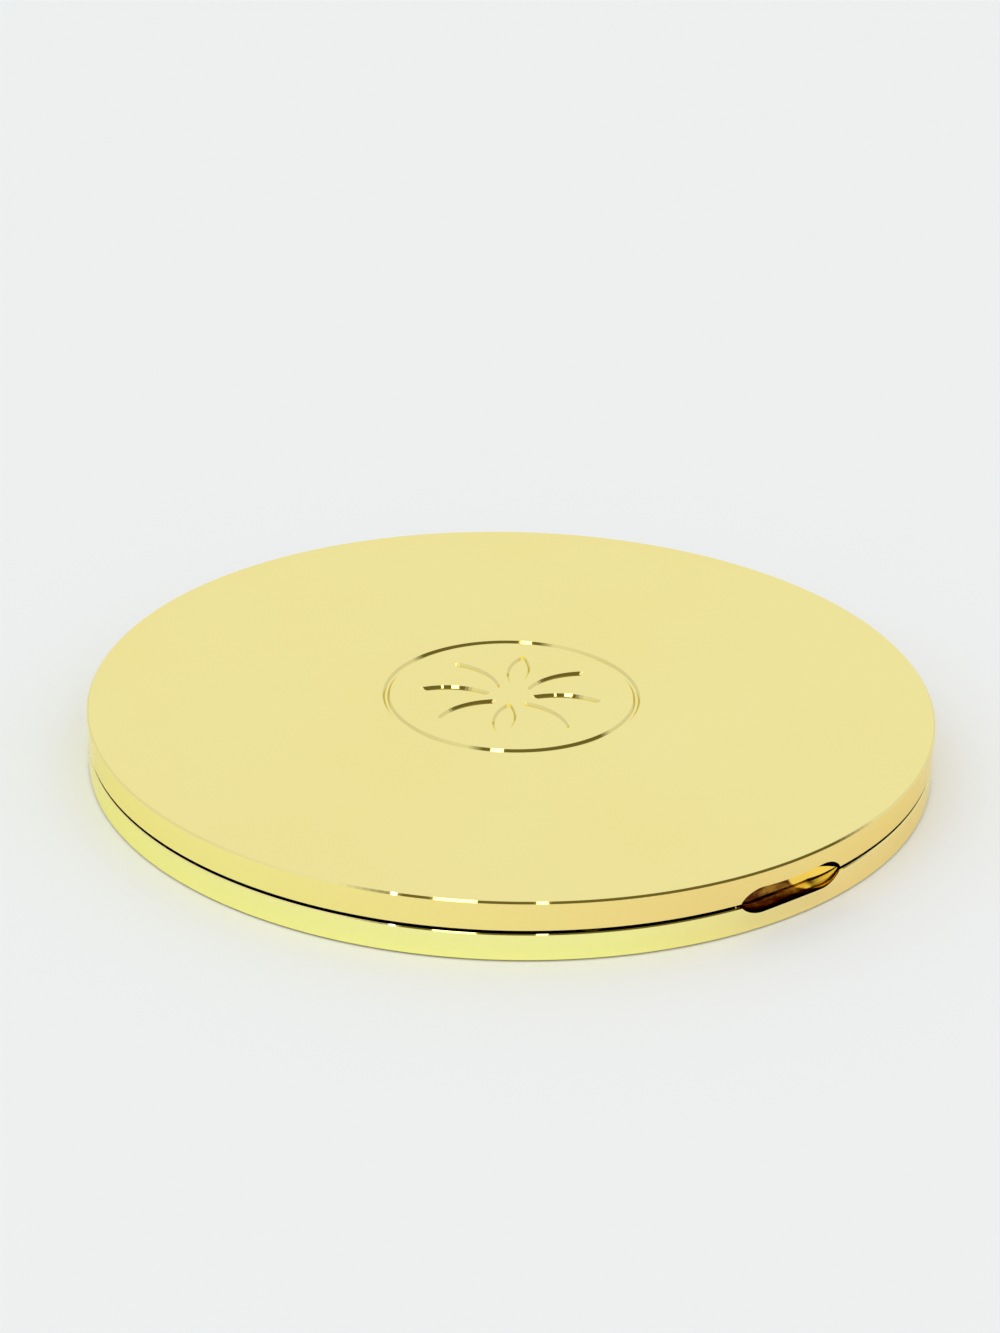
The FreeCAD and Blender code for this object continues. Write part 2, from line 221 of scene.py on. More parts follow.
def addRamp(tree, value, stops):
    ramp = addNode(tree, "ShaderNodeValToRGB")
    while len(ramp.color_ramp.elements) < len(stops):
        ramp.color_ramp.elements.new(0.5)
    for element, (position, colour) in zip(ramp.color_ramp.elements, stops):
        element.position = position
        element.color = colour
    feed(tree, value, ramp.inputs["Fac"])
    return ramp.outputs["Color"]


def addMath(tree, kind, first, second):
    node = addNode(tree, "ShaderNodeMath", operation=kind)
    feed(tree, first, node.inputs[0])
    feed(tree, second, node.inputs[1])
    return node.outputs["Value"]


def addMix(tree, factor, first, second, blend="MIX"):
    mix = addNode(tree, "ShaderNodeMix", data_type="RGBA", blend_type=blend)
    feed(tree, factor, mix.inputs["Factor"])
    feed(tree, first, mix.inputs["A"])
    feed(tree, second, mix.inputs["B"])
    return mix.outputs["Result"]


def addBump(tree, height, strength, distance, under=None):
    bump = addNode(tree, "ShaderNodeBump")
    feed(tree, strength, bump.inputs["Strength"])
    feed(tree, distance, bump.inputs["Distance"])
    feed(tree, height, bump.inputs["Height"])
    if under:
        feed(tree, under, bump.inputs["Normal"])
    return bump.outputs["Normal"]


def stretched(tree, vector, scale):
    mapping = addNode(tree, "ShaderNodeMapping")
    feed(tree, scale, mapping.inputs["Scale"])
    feed(tree, vector, mapping.inputs["Vector"])
    return mapping.outputs["Vector"]


def fromAxis(tree, vector):
    # distance from the case's axis
    length = addNode(tree, "ShaderNodeVectorMath", operation="LENGTH")
    feed(tree, stretched(tree, vector, (1, 1, 0)), length.inputs[0])
    return length.outputs["Value"]


def addTurning(tree, vector, perMetre, detail=4):
    # fine concentric lines, as a lathe or a buffing wheel leaves them
    lines = addNode(tree, "ShaderNodeTexNoise", noise_dimensions="1D")
    feed(tree, perMetre, lines.inputs["Scale"])
    feed(tree, detail, lines.inputs["Detail"])
    feed(tree, fromAxis(tree, vector), lines.inputs["W"])
    return lines.outputs["Fac"]


# Gold plating

grazingGold = (1, 0.95, 0.72, 1)
plating = {
    "cloudScale": 45,
    "cloudStops": (0.35, 0.65),
    "rubScale": 420,
    "rubDetail": 6,
    "rubShare": 0.6,
    "hairStretch": (160, 2600, 900),
    "hairDetail": 4,
    "hairRough": 0.7,
    "hairShare": 0.4,
    "wear": (0.35, 0.65),
    "lineDepth": 0.002 * mm,
    "peelScale": 900,
    "peelDetail": 2,
    "peelDepth": 0.003 * mm,
}


def addScoopPaintedLight(tree, place, clean, look):
    # painted reflections and shade inside the scoop: painted dark reflections on the left of the base
    # turning to a painted deep-gold reflection, patches with a painted glint under the lid, and a painted
    # dark notch at the right
    mark = addNode(tree, "ShaderNodeAttribute", attribute_name="scoop").outputs["Fac"]
    split = addNode(tree, "ShaderNodeSeparateXYZ")
    feed(tree, place, split.inputs["Vector"])
    ragged = addNoise(tree, stretched(tree, place, look["grain"]))
    inward = addMath(tree, "SUBTRACT", split.outputs["Y"], -case["radius"])
    along = addMath(tree, "ADD", split.outputs["X"], addMath(tree, "MULTIPLY", inward, look["slant"]))
    along = addMath(tree, "ADD", along, addMath(tree, "MULTIPLY", ragged, look["ragged"]))
    paintedDarkReflection = addRamp(tree, ragged, look["tones"])
    inside = addMix(tree, addRange(tree, along, look["fade"], (1, 0)), look["deep"], paintedDarkReflection)
    patches = addRamp(tree, ragged, look["under"])
    under = addMix(tree, addRange(tree, split.outputs["X"], look["end"]), patches, look["notchShadeTone"])
    inside = addMix(tree, addRange(tree, mark, look["lidMark"]), inside, under)
    amount = addRange(tree, mark, look["anyMark"])
    return addMix(tree, amount, clean, inside), addMix(tree, amount, grazingGold, inside)


def makeGold(name, look):
    material, tree, shader = newMaterial(name)
    place = objectPlace(tree)
    cloud = addNoise(tree, place, plating["cloudScale"])
    colour = addRamp(tree, cloud, tuple(zip(plating["cloudStops"], (look["deep"], look["pale"]))))
    edge = grazingGold
    # painted reflections and shade: in the scoop, and on single faces through the tint attribute
    if "scoopPaintedLight" in look:
        tint = addNode(tree, "ShaderNodeAttribute", attribute_name="tint").outputs["Color"]
        tinted = addMix(tree, 1, colour, tint, "MULTIPLY")
        colour, edge = addScoopPaintedLight(tree, place, tinted, look["scoopPaintedLight"])
    rub = addNoise(tree, place, plating["rubScale"], plating["rubDetail"])
    hair = addNoise(tree, stretched(tree, place, plating["hairStretch"]), detail=plating["hairDetail"],
                    rough=plating["hairRough"])
    wear = addMath(tree, "ADD", addMath(tree, "MULTIPLY", rub, plating["rubShare"]),
                   addMath(tree, "MULTIPLY", hair, plating["hairShare"]))
    lines = addTurning(tree, place, look["linesPerMetre"])
    turned = addBump(tree, lines, look["lineStrength"], plating["lineDepth"])
    peel = addNoise(tree, place, plating["peelScale"], plating["peelDetail"])
    feed(tree, 1, shader.inputs["Metallic"])
    feed(tree, colour, shader.inputs["Base Color"])
    feed(tree, edge, shader.inputs["Specular Tint"])
    feed(tree, addRange(tree, wear, plating["wear"], look["rough"]), shader.inputs["Roughness"])
    feed(tree, addBump(tree, peel, look["peel"], plating["peelDepth"], turned), shader.inputs["Normal"])
    return material


gold = makeGold("polishedGold", {
    "pale": (0.966, 0.872, 0.385, 1),
    "deep": (0.96, 0.855, 0.365, 1),
    "rough": (0.025, 0.055),
    "linesPerMetre": 9000,
    "lineStrength": 0.2,
    "peel": 0.05,
    # painted reflections and shade inside the scoop: dark mottled reflections, a painted deep-gold
    # reflection, a painted glint and a painted dark notch
    "scoopPaintedLight": {
        "grain": (500, 900, 900),
        "ragged": 2 * mm,
        "slant": 1.5,
        "fade": (4.8 * mm, 5.1 * mm),  # painted dark reflection turns to painted deep gold
        "deep": (0.95, 0.66, 0.1, 1),
        "tones": (
            (0.35, (0.035, 0.007, 0.002, 1)),
            (0.5, (0.09, 0.022, 0.006, 1)),
            (0.64, (0.32, 0.16, 0.02, 1)),
        ),
        # painted reflections under the lid, the palest stop a painted glint
        "under": (
            (0.34, (0.12, 0.05, 0.015, 1)),
            (0.43, (0.6, 0.4, 0.12, 1)),
            (0.5, (0.97, 0.87, 0.5, 1)),
        ),
        "end": (4.0 * mm, 4.4 * mm),  # painted dark notch of shade at the right
        "notchShadeTone": (0.012, 0.007, 0.005, 1),
        "anyMark": (0.1, 0.4),
        "lidMark": (0.6, 0.9),
    },
})
bezelGold = makeGold("satinGold", {
    "pale": (0.93, 0.8, 0.36, 1),
    "deep": (0.9, 0.76, 0.32, 1),
    "rough": (0.16, 0.26),
    "linesPerMetre": 14000,
    "lineStrength": 0.5,
    "peel": 0.1,
})


# Mirror glass

silvering = {
    "edgeBand": 0.5 * mm,
    "clearTo": 0.55,
    "hazeScale": 160,
    "hazeDetail": 5,
    "haze": (0.45, 0.75),
}


def makeMirror(name, look):
    material, tree, shader = newMaterial(name)
    place = objectPlace(tree)
    band = (case["glass"] - silvering["edgeBand"], case["glass"])
    edge = addRange(tree, fromAxis(tree, place), band)
    stops = ((0.0, look["silver"]), (silvering["clearTo"], look["silver"]), (1.0, look["rim"]))
    haze = addNoise(tree, place, silvering["hazeScale"], silvering["hazeDetail"])
    feed(tree, 1, shader.inputs["Metallic"])
    feed(tree, addRamp(tree, edge, stops), shader.inputs["Base Color"])
    feed(tree, addRange(tree, haze, silvering["haze"], look["rough"]), shader.inputs["Roughness"])
    return material


plainSilver = makeMirror("plainMirror", {
    "silver": (0.93, 0.945, 0.94, 1),
    "rim": (0.42, 0.5, 0.46, 1),
    "rough": (0.004, 0.02),
})
bowlSilver = makeMirror("magnifyingMirror", {
    "silver": (0.925, 0.935, 0.94, 1),
    "rim": (0.4, 0.47, 0.45, 1),
    "rough": (0.004, 0.024),
})


# Metal and silicone of the fittings, and foam behind the mirrors

fineGrain = {"span": (0.3, 0.7), "detail": 5, "rough": 0.6, "depth": 0.01 * mm}


def makePlain(name, look):
    # two close tones, uneven gloss and a fine grain
    material, tree, shader = newMaterial(name)
    place = stretched(tree, objectPlace(tree), look["grain"])
    grain = addNoise(tree, place, detail=fineGrain["detail"], rough=fineGrain["rough"])
    tones = tuple(zip(fineGrain["span"], (look["dark"], look["light"])))
    feed(tree, look["metal"], shader.inputs["Metallic"])
    feed(tree, addRamp(tree, grain, tones), shader.inputs["Base Color"])
    feed(tree, addRange(tree, grain, fineGrain["span"], look["rough"]), shader.inputs["Roughness"])
    feed(tree, addBump(tree, grain, look["bump"], fineGrain["depth"]), shader.inputs["Normal"])
    return material


nickel = makePlain("magnetNickel", {
    "metal": 1, "dark": (0.62, 0.6, 0.56, 1), "light": (0.76, 0.745, 0.71, 1),
    "grain": (2500, 2500, 2500), "rough": (0.16, 0.3), "bump": 0.12,
})
steel = makePlain("pinSteel", {
    "metal": 1, "dark": (0.48, 0.485, 0.49, 1), "light": (0.64, 0.645, 0.65, 1),
    "grain": (90, 6000, 6000), "rough": (0.2, 0.34), "bump": 0.15,
})
silicone = makePlain("bumperSilicone", {
    "metal": 0, "dark": (0.035, 0.033, 0.03, 1), "light": (0.07, 0.066, 0.06, 1),
    "grain": (1400, 1400, 1400), "rough": (0.38, 0.5), "bump": 0.1,
})
foam = makePlain("adhesiveFoam", {
    "metal": 0, "dark": (0.34, 0.335, 0.32, 1), "light": (0.5, 0.495, 0.48, 1),
    "grain": (3000, 3000, 3000), "rough": (0.7, 0.85), "bump": 0.4,
})
print("materials ready")


# Thumb scoop, cut across both halves

scoop = {
    "length": 10.75 * mm,
    "radius": 1.25 * mm,
    "endRound": 3.0 * mm,
    "line": 0.75 * mm - case["radius"],
    "height": hinge.z + 0.1 * mm,
    "endSteps": 14,
    "turnSteps": 96,
    "baseMark": 0.5,
    "lidMark": 1,
    "markReach": 1.02,
    "markInset": 0.01 * mm,
}


def scoopTool():
    # one wall with its two rounded ends, turned about a line just inside the rim
    bm = bmesh.new()
    deep, wide, line, height = scoop["radius"], scoop["endRound"], scoop["line"], scoop["height"]
    straight = scoop["length"] / 2 - math.sqrt(2 * wide * deep - deep ** 2)
    swing = math.pi / 2 - math.asin((wide - deep) / wide)
    wall = []
    for side in (-1, 1):
        start = bm.verts.new((side * straight, line + deep, height))
        wall.append(start)
        centre = (side * straight, line + deep - wide, height)
        sweep(bm, [start], centre, (0, 0, 1), -side * swing, scoop["endSteps"])
    bm.edges.new(wall)
    turnRound(bm, scoop["turnSteps"], (0, line, height), (1, 0, 0), near["scoopSeam"])
    return bm


def markScoop(piece, amount):
    # faces inside the scoop, where reflections and shade are painted
    marks = piece.data.attributes.new("scoop", "FLOAT", "FACE")
    for face in piece.data.polygons:
        middle = face.center
        reach = math.hypot(middle.y - scoop["line"], middle.z - scoop["height"])
        inside = abs(middle.x) < scoop["length"] / 2 and reach < scoop["radius"] * scoop["markReach"]
        inside = inside and middle.xy.length < case["radius"] - scoop["markInset"]
        fromRim = min(abs(middle.z - case["baseTop"]), abs(middle.z - case["lidBottom"]))
        if inside and fromRim >= near["level"]:
            marks.data[face.index].value = amount


# Gold tones of single faces, which the plating's colour is multiplied by: painted reflections on the
# sides, a painted contact shade along the foot and painted dark reflections on the bevels and engraved
# walls

tints = {
    # painted reflections on the sides: the left and the right tone of each half
    "lid": ((1.035, 1.05, 0.83, 1), (1.02, 0.885, 0.745, 1)),
    "base": ((1.035, 1.14, 1.03, 1), (1.035, 0.935, 0.96, 1)),
    # degrees round the case where the painted warm reflection starts, is full, fades and has gone
    "lidTurns": (-75, -15, 150, 175),
    "baseTurns": (-25, 5, 150, 175),
    # painted contact shade: a dark line on the foot's bevel
    "foot": (0.6, 0.58, 0.42, 1),
    # painted dark reflections on the bevels and engraved walls
    "darkReflection": (0.16, 0.135, 0.045, 1),
    "engravedDarkReflection": 0.24,
    "edgeDarkReflection": 0.12,
    "darkReflectionTurn": -21.8,  # degrees round the case, where the painted dark reflection lies
    "darkReflectionEdge": (0.24, 0.53),
    "sideBand": 0.02 * mm,
    "sideLean": 0.1,  # leans are the Z of a face's normal
    "footHeight": 0.15 * mm,
    "footLean": (-0.9, -0.1),
    "partingBand": 0.09 * mm,
    "engraved": 0.25 * mm,
    "facetLean": (0.5, 0.9),
}


def share(value, low, high):
    return min(max((value - low) / (high - low), 0), 1)


def between(value, limits):
    return limits[0] < value < limits[1]


def facing(normal):
    # degrees round the case, from the scoop towards the right
    return math.degrees(math.atan2(normal.x, -normal.y))


def darkReflectionShare(face):
    # painted dark reflection: facets that face along this turn are painted darker, those across it stay
    # brighter
    along = math.cos(2 * math.radians(facing(face.normal) - tints["darkReflectionTurn"]))
    engraved = face.center.xy.length < case["radius"] / 2
    return max(share(along, *tints["darkReflectionEdge"]), tints["engravedDarkReflection" if engraved else "edgeDarkReflection"])


def sideReflectionTone(side, normal):
    # painted reflections: both halves are painted warmer round to the right
    start, full, last, end = tints[side + "Turns"]
    warm = min(share(facing(normal), start, full), 1 - share(facing(normal), last, end))
    left, right = tints[side]
    return Vector(left).lerp(Vector(right), warm)


def tintFaces(piece, side):
    marks = piece.data.attributes.new("tint", "FLOAT_COLOR", "FACE")
    for face in piece.data.polygons:
        height, lean = face.center.z, face.normal.z
        inward = case["radius"] - face.center.xy.length
        onTop = height > case["lidTop"] - tints["engraved"]
        atParting = max(inward, abs(height - case["baseTop"])) < tints["partingBand"]
        atFoot = max(inward, height) < tints["footHeight"]
        colour = Vector((1, 1, 1, 1))
        # painted reflections on the side faces
        if inward < tints["sideBand"] and abs(lean) < tints["sideLean"]:
            colour = sideReflectionTone(side, face.normal)
        # painted contact shade on the foot's bevel
        elif atFoot and between(lean, tints["footLean"]):
            colour = Vector(tints["foot"])
        # painted dark reflections on the bevels and engraved walls
        elif (onTop or atParting) and between(lean, tints["facetLean"]):
            colour = colour.lerp(Vector(tints["darkReflection"]), darkReflectionShare(face))
        marks.data[face.index].color = colour


# Barrel hinge, let into the back

barrel = {
    "radius": 1.05 * mm,
    "play": 0.2 * mm,
    "lidHalf": 4.5 * mm,
    "endPlay": 0.15 * mm,
    "margin": 0.25 * mm,
    "stopAngle": 65.5,  # degrees from level
    "lidBore": 0.49 * mm,
    "baseBore": 0.455 * mm,
    "soften": 0.06 * mm,
}
reliefHalf = math.sqrt(case["radius"] ** 2 - hinge.y ** 2) + barrel["margin"]
reliefRadius = barrel["radius"] + barrel["play"]
barrelHalf = reliefHalf - barrel["endPlay"]
lidEnd = barrel["lidHalf"]
baseStart = lidEnd + barrel["endPlay"]


def alongHinge(left, right, radius, soften=0.0):
    bm = bmesh.new()
    middle = Matrix.Translation(((left + right) / 2, hinge.y, hinge.z))
    addRod(bm, radius, right - left, middle @ Matrix.Rotation(math.pi / 2, 4, "Y"), soften=soften)
    return bm


def reliefTool():
    # a wedge behind the axis: its two faces are where the open lid stops
    bm = bmesh.new()
    reach = 2 * barrel["radius"]
    rise = reach * math.tan(math.radians(barrel["stopAngle"]))
    section = ((0, 0), (reach, -rise), (reach, rise))
    side = bm.faces.new([bm.verts.new((-reliefHalf, hinge.y + y, hinge.z + z)) for y, z in section])
    made = bmesh.ops.extrude_face_region(bm, geom=[side])
    bmesh.ops.translate(bm, verts=vertsIn(made["geom"]), vec=(2 * reliefHalf, 0, 0))
    bmesh.ops.recalc_face_normals(bm, faces=bm.faces)
    return bm


def seatTool(nodes, steps=40):
    # round seats for the magnets or bumpers, open towards the parting line
    bm = bmesh.new()
    for node in nodes:
        low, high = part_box(node)
        middle = (low + high) / 2
        radius = (high.x - low.x) / 2 + clearance
        addRod(bm, radius, high.z - low.z, Matrix.Translation(middle), steps)
    return bm


# Base shell

baseLook = {"foot": 0.15 * mm, "parting": 0.08 * mm, "inner": 0.1 * mm}
bm = turnProfile([
    (case["discEdge"], 0),
    (case["radius"], 0),
    (case["radius"], case["baseTop"]),
    (case["pocket"], case["baseTop"]),
    (case["pocket"], case["baseFloor"]),
    (case["discEdge"], case["baseFloor"]),
])
closeDiscs(bm)
softenRing(bm, case["radius"], 0, baseLook["foot"], 1)
softenRing(bm, case["radius"], case["baseTop"], baseLook["parting"], 1)
softenRing(bm, case["pocket"], case["baseTop"], baseLook["inner"])
baseShell = asObject(bm, "baseShell")
carve(baseShell, scoopTool())
carve(baseShell, seatTool(["base_magnet_left", "base_magnet_right", "bumper_left", "bumper_right"]))
carve(baseShell, reliefTool())
carve(baseShell, alongHinge(-baseStart, baseStart, reliefRadius))
for left, right in ((-barrelHalf, -baseStart), (baseStart, barrelHalf)):
    carve(baseShell, alongHinge(left, right, barrel["radius"], barrel["soften"]), "UNION")
carve(baseShell, alongHinge(-reliefHalf, reliefHalf, barrel["baseBore"]))
markScoop(baseShell, scoop["baseMark"])
tintFaces(baseShell, "base")
settle(baseShell, "base", "base_shell", gold)
print("base shell:", len(baseShell.data.polygons), "faces")


# Lid shell, with its engraved ring and rosette

lidLook = {
    "edge": 0.15 * mm,
    "parting": 0.08 * mm,
    "inner": 0.1 * mm,
    "ringRadius": 10.4 * mm,
    "ringWidth": 0.6 * mm,
    "ringFloor": 0.2 * mm,
    "ringDepth": 0.2 * mm,
    "ringMargin": 0.5 * mm,
    "petals": 8,
    "petalInner": 1.7 * mm,
    "petalOuter": 7.6 * mm,
    "petalWidth": 1.9 * mm,
    "petalDepth": 0.2 * mm,
    "petalDraft": 0.2 * mm,
    "petalAbove": 0.06 * mm,
    "petalSteps": 20,
}


def rosetteTool():
    # a petal's floor is drawn as two arcs, raised with a draft, and repeated round the axis
    bm = bmesh.new()
    half = (lidLook["petalOuter"] - lidLook["petalInner"]) / 2
    middle = (lidLook["petalOuter"] + lidLook["petalInner"]) / 2
    wide = lidLook["petalWidth"] / 2 - lidLook["petalDraft"]
    bow = (half ** 2 + wide ** 2) / (2 * wide)
    floor = case["lidTop"] - lidLook["petalDepth"]
    above, seam = lidLook["petalAbove"], near["petalSeam"]
    tip = bm.verts.new((0, middle - half, floor))
    centre = (bow - wide, middle, floor)
    sweep(bm, [tip], centre, (0, 0, 1), -2 * math.asin(half / bow), lidLook["petalSteps"])
    bmesh.ops.mirror(bm, geom=bm.verts[:] + bm.edges[:], matrix=Matrix(), merge_dist=seam, axis="X")
    bmesh.ops.remove_doubles(bm, verts=bm.verts, dist=seam)
    bmesh.ops.edgeloop_fill(bm, edges=bm.edges[:])
    top = vertsIn(bmesh.ops.extrude_face_region(bm, geom=bm.faces[:])["geom"])
    bmesh.ops.translate(bm, verts=top, vec=(0, 0, lidLook["petalDepth"] + above))
    grow = 1 + lidLook["petalDraft"] / wide * (1 + above / lidLook["petalDepth"])
    bmesh.ops.scale(bm, verts=top, vec=(grow, 1 + (grow - 1) * wide / half, 1),
                    space=Matrix.Translation((0, -middle, 0)))
    bmesh.ops.recalc_face_normals(bm, faces=bm.faces)
    first = bm.verts[:] + bm.edges[:] + bm.faces[:]
    for turn in range(1, lidLook["petals"]):
        copied = vertsIn(bmesh.ops.duplicate(bm, geom=first)["geom"])
        turned = Matrix.Rotation(math.tau * turn / lidLook["petals"], 3, "Z")
        bmesh.ops.rotate(bm, cent=(0, 0, 0), matrix=turned, verts=copied)
    return bm


ringIn = lidLook["ringRadius"] - lidLook["ringWidth"] / 2
ringOut = lidLook["ringRadius"] + lidLook["ringWidth"] / 2
ringLow = case["lidTop"] - lidLook["ringDepth"]
bm = turnProfile([
    (ringIn - lidLook["ringMargin"], case["lidTop"]),
    (ringIn, case["lidTop"]),
    (lidLook["ringRadius"] - lidLook["ringFloor"] / 2, ringLow),
    (lidLook["ringRadius"] + lidLook["ringFloor"] / 2, ringLow),
    (ringOut, case["lidTop"]),
    (case["radius"], case["lidTop"]),
    (case["radius"], case["lidBottom"]),
    (case["pocket"], case["lidBottom"]),
    (case["pocket"], case["lidFloor"]),
    (case["discEdge"], case["lidFloor"]),
])
closeDiscs(bm)
softenRing(bm, case["radius"], case["lidTop"], lidLook["edge"], 1)
softenRing(bm, case["radius"], case["lidBottom"], lidLook["parting"], 1)
softenRing(bm, case["pocket"], case["lidBottom"], lidLook["inner"])
lidShell = asObject(bm, "lidShell")
carve(lidShell, rosetteTool())
carve(lidShell, scoopTool())
carve(lidShell, seatTool(["lid_magnet_left", "lid_magnet_right"]))
carve(lidShell, reliefTool())
for left, right in ((-reliefHalf, -lidEnd), (lidEnd, reliefHalf)):
    carve(lidShell, alongHinge(left, right, reliefRadius))
carve(lidShell, alongHinge(-lidEnd, lidEnd, barrel["radius"], barrel["soften"]), "UNION")
carve(lidShell, alongHinge(-reliefHalf, reliefHalf, barrel["lidBore"]))
markScoop(lidShell, scoop["lidMark"])
tintFaces(lidShell, "lid")
settle(lidShell, "lid", "lid_shell", gold)
print("lid shell:", len(lidShell.data.polygons), "faces")


# Mirrors on their adhesive discs

glass = {
    "bevel": 0.2 * mm,
    "backRound": 0.05 * mm,
    "edgeBand": 1 * mm,
    "curve": 1200 * mm,
    "arcSteps": 24,
    "turnSteps": 240,
    "adhesiveInset": 0.3 * mm,
    "adhesiveRound": 0.03 * mm,
}


def discBetween(low, high, radius, bevels):
    inner = radius - glass["edgeBand"]
    bm = turnProfile([(inner, low), (radius, low), (radius, high), (inner, high)])
    closeDiscs(bm)
    for height, width, segments in bevels:
        softenRing(bm, radius, height, width, segments)
    return bm


def bowlArc(bm, low, curve, reach):
    # an arc from the case's axis outwards, its centre straight above
    start = bm.verts.new((0, 0, low))
    swing = -math.asin(reach / curve)
    made = sweep(bm, [start], (0, 0, low + curve), (0, 1, 0), swing, glass["arcSteps"])
    return vertsIn(made["geom_last"])[0]


bedRadius = case["glass"] - glass["adhesiveInset"]
low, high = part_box("lid_mirror")
bevels = [(low.z, glass["bevel"], 1), (high.z, glass["backRound"], 2)]
lidMirror = asObject(discBetween(low.z, high.z, case["glass"], bevels), "lidMirror")
settle(lidMirror, "lid", "lid_mirror", plainSilver)

low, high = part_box("lid_mirror_adhesive")
bevels = [(low.z, glass["adhesiveRound"], 2)]
lidAdhesive = asObject(discBetween(low.z, high.z, bedRadius, bevels), "lidAdhesive")
settle(lidAdhesive, "lid", "lid_mirror_adhesive", foam)

low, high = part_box("base_mirror")
sag = glass["curve"] - math.sqrt(glass["curve"] ** 2 - case["glass"] ** 2)
backCurve = glass["curve"] + (high.z - sag - low.z)
bm = bmesh.new()
faceEnd = bowlArc(bm, high.z - sag, glass["curve"], case["glass"])
backEnd = bowlArc(bm, low.z, backCurve, case["glass"])
bm.edges.new((faceEnd, backEnd))
turnRound(bm, glass["turnSteps"])
baseMirror = asObject(bm, "baseMirror")
settle(baseMirror, "base", "base_mirror", bowlSilver)

bm = bmesh.new()
bedEnd = bowlArc(bm, low.z, backCurve, bedRadius)
edgeFoot = bm.verts.new((bedEnd.co.x, 0, case["baseFloor"]))
middle = bm.verts.new((0, 0, case["baseFloor"]))
bm.edges.new((bedEnd, edgeFoot))
bm.edges.new((edgeFoot, middle))
turnRound(bm, glass["turnSteps"])
baseAdhesive = asObject(bm, "baseAdhesive")
settle(baseAdhesive, "base", "base_mirror_adhesive", foam)
print("mirrors ready")


# Bezels that hold the mirrors in

bezel = {
    "skirt": 0.5 * mm,
    "lip": 0.3 * mm,
    "overlap": 0.9 * mm,
    "inner": 0.14 * mm,
    "innerSegments": 4,
    "outer": 0.08 * mm,
}


def makeBezel(name, node, body, face, foot, inward):
    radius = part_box(node)[1].x
    skirt = radius - bezel["skirt"]
    lip = skirt - bezel["overlap"]
    seat = face + inward * bezel["lip"]
    corners = [(lip, face), (radius, face), (radius, foot), (skirt, foot), (skirt, seat), (lip, seat)]
    bm = turnProfile(corners, loop=True)
    softenRing(bm, lip, face, bezel["inner"], bezel["innerSegments"])
    softenRing(bm, radius, face, bezel["outer"])
    settle(asObject(bm, name), body, node, bezelGold)


low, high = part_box("lid_bezel")
makeBezel("lidBezel", "lid_bezel", "lid", low.z, high.z, 1)
low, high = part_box("base_bezel")
makeBezel("baseBezel", "base_bezel", "base", high.z, low.z, -1)
print("bezels ready")


# Magnets, bumpers and the hinge pin

fittings = {"magnetRound": 0.1 * mm, "bumperRound": 0.24 * mm, "pinRound": 0.16 * mm, "steps": 64}


def makeDisc(name, node, body, material, soften):
    low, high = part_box(node)
    middle = Matrix.Translation((low + high) / 2)
    bm = bmesh.new()
    addRod(bm, (high.x - low.x) / 2, high.z - low.z, middle, fittings["steps"], soften)
    settle(asObject(bm, name), body, node, material)


for side in ("left", "right"):
    for body in ("lid", "base"):
        makeDisc(f"{body}Magnet.{side}", f"{body}_magnet_{side}", body, nickel,
                 fittings["magnetRound"])
    makeDisc(f"bumper.{side}", f"bumper_{side}", "base", silicone,
             fittings["bumperRound"])
low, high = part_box("hinge_pin")
hingePin = asObject(alongHinge(low.x, high.x, (high.z - low.z) / 2, fittings["pinRound"]), "hingePin")
settle(hingePin, "base", "hinge_pin", steel)
print("fittings ready")


# Camera at the photograph's viewing angle

view = {
    "place": (0, -0.235737, 0.118577),  # metres, before the turn about the case's axis
    "pitch": 25.221,
    "yaw": 0.243,
    "roll": 1.189,
    "turn": -38.31,
    "lens": 85.07,
    "sensor": 36,
    "clipStart": 0.01,
}
lens = bpy.data.cameras.new("viewCamera")
lens.sensor_width = view["sensor"]
lens.lens = view["lens"]
lens.clip_start = view["clipStart"]
camera = bpy.data.objects.new("viewCamera", lens)
bpy.context.scene.collection.objects.link(camera)
around = Matrix.Rotation(math.radians(view["turn"]), 4, "Z")
aim = (Matrix.Rotation(math.radians(view["yaw"]), 4, "Z")
       @ Matrix.Rotation(math.radians(90 - view["pitch"]), 4, "X")
       @ Matrix.Rotation(math.radians(view["roll"]), 4, "Z"))
camera.matrix_world = around @ Matrix.Translation(view["place"]) @ aim
bpy.context.scene.camera = camera
print("camera ready")


# Floor, lamps and the white room

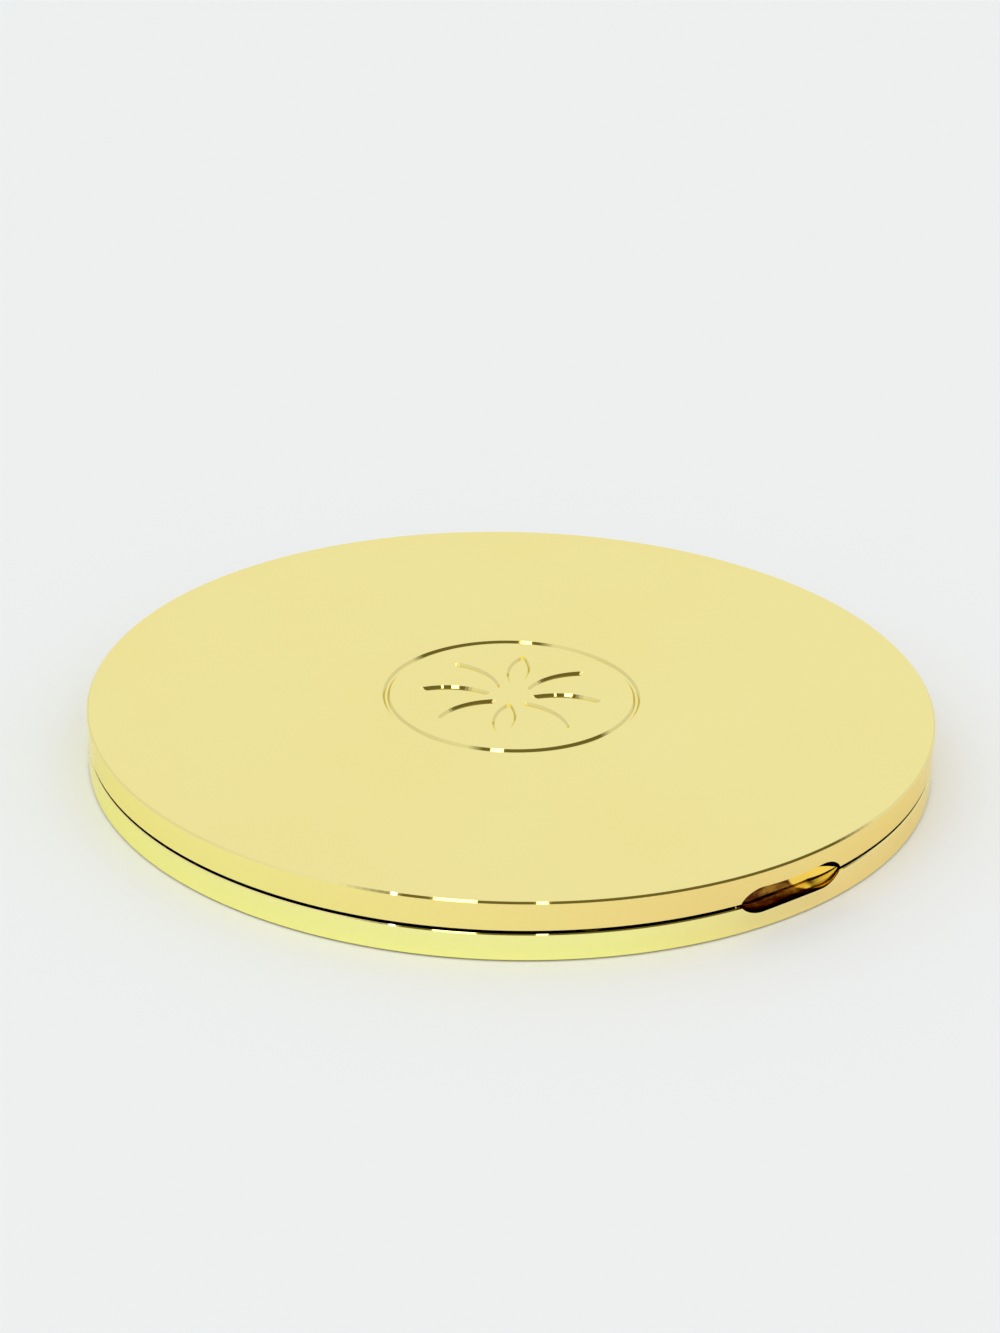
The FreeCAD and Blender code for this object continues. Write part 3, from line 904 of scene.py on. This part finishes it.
studio = {
    "wall": 0.885,
    "front": 0.97,
    "frontFade": (0, 0.6),
    "overhead": 1.0,
    "overheadFade": (0.55, 0.95),
    "floor": (0.892, 0.912, 0.908, 1),
    "floorRough": 0.7,
    "floorHalf": 4.0,
    "lampDistance": 0.9,
    "lampLevel": 24,
    "lampTone": (1, 1, 2),
    # angle round the rim, width and height, in degrees
    "lamps": ((-13.7, 1.0, 5), (-6.2, 8.1, 16), (4.3, 2.1, 5)),
}
bm = bmesh.new()
bmesh.ops.create_grid(bm, x_segments=2, y_segments=2, size=studio["floorHalf"])
floor = asObject(bm, "paleFloor")
material, tree, shader = newMaterial("paleFloor")
feed(tree, studio["floor"], shader.inputs["Base Color"])
feed(tree, studio["floorRough"], shader.inputs["Roughness"])
floor.data.materials.append(material)

world = bpy.data.worlds.new("whiteRoom")
bpy.context.scene.world = world
world.use_nodes = True
tree = world.node_tree
direction = addNode(tree, "ShaderNodeTexCoord").outputs["Generated"]


def alignedWith(vector):
    dot = addNode(tree, "ShaderNodeVectorMath", operation="DOT_PRODUCT")
    feed(tree, direction, dot.inputs[0])
    feed(tree, vector, dot.inputs[1])
    return dot.outputs["Value"]


def grey(level):
    return (level, level, level, 1)


forward = addRange(tree, alignedWith(around @ Vector((0, -1, 0))), studio["frontFade"])
lift = addRange(tree, alignedWith((0, 0, 1)), studio["overheadFade"])
white = addMix(tree, forward, grey(studio["wall"]), grey(studio["front"]))
white = addMix(tree, lift, white, grey(studio["overhead"]))
feed(tree, white, tree.nodes["Background"].inputs["Color"])
for number, (rimAngle, width, height) in enumerate(studio["lamps"]):
    # each hangs where the lid's bevel shows it to the camera, at this angle round the rim
    turn = math.radians(rimAngle)
    bevelFacing = around.to_3x3() @ Vector((math.sin(turn), -math.cos(turn), 1)).normalized()
    across, outward = case["radius"] * math.sin(turn), case["radius"] * math.cos(turn)
    shownAt = around @ Vector((across, -outward, case["lidTop"]))
    sight = (shownAt - camera.matrix_world.translation).normalized()
    toLamp = sight.reflect(bevelFacing)
    lamp = bpy.data.lights.new(f"panel{number}", "AREA")
    lamp.shape = "RECTANGLE"
    lamp.size = studio["lampDistance"] * math.radians(width)
    lamp.size_y = studio["lampDistance"] * math.radians(height)
    lamp.energy = studio["lampLevel"] * math.pi * lamp.size * lamp.size_y
    lamp.color = studio["lampTone"]
    panel = bpy.data.objects.new(f"panel{number}", lamp)
    panel.visible_diffuse = False
    bpy.context.scene.collection.objects.link(panel)
    panel.location = shownAt + studio["lampDistance"] * toLamp
    panel.rotation_euler = toLamp.to_track_quat("Z", "Y").to_euler()
bpy.context.scene.view_settings.view_transform = "Standard"
print("studio ready")
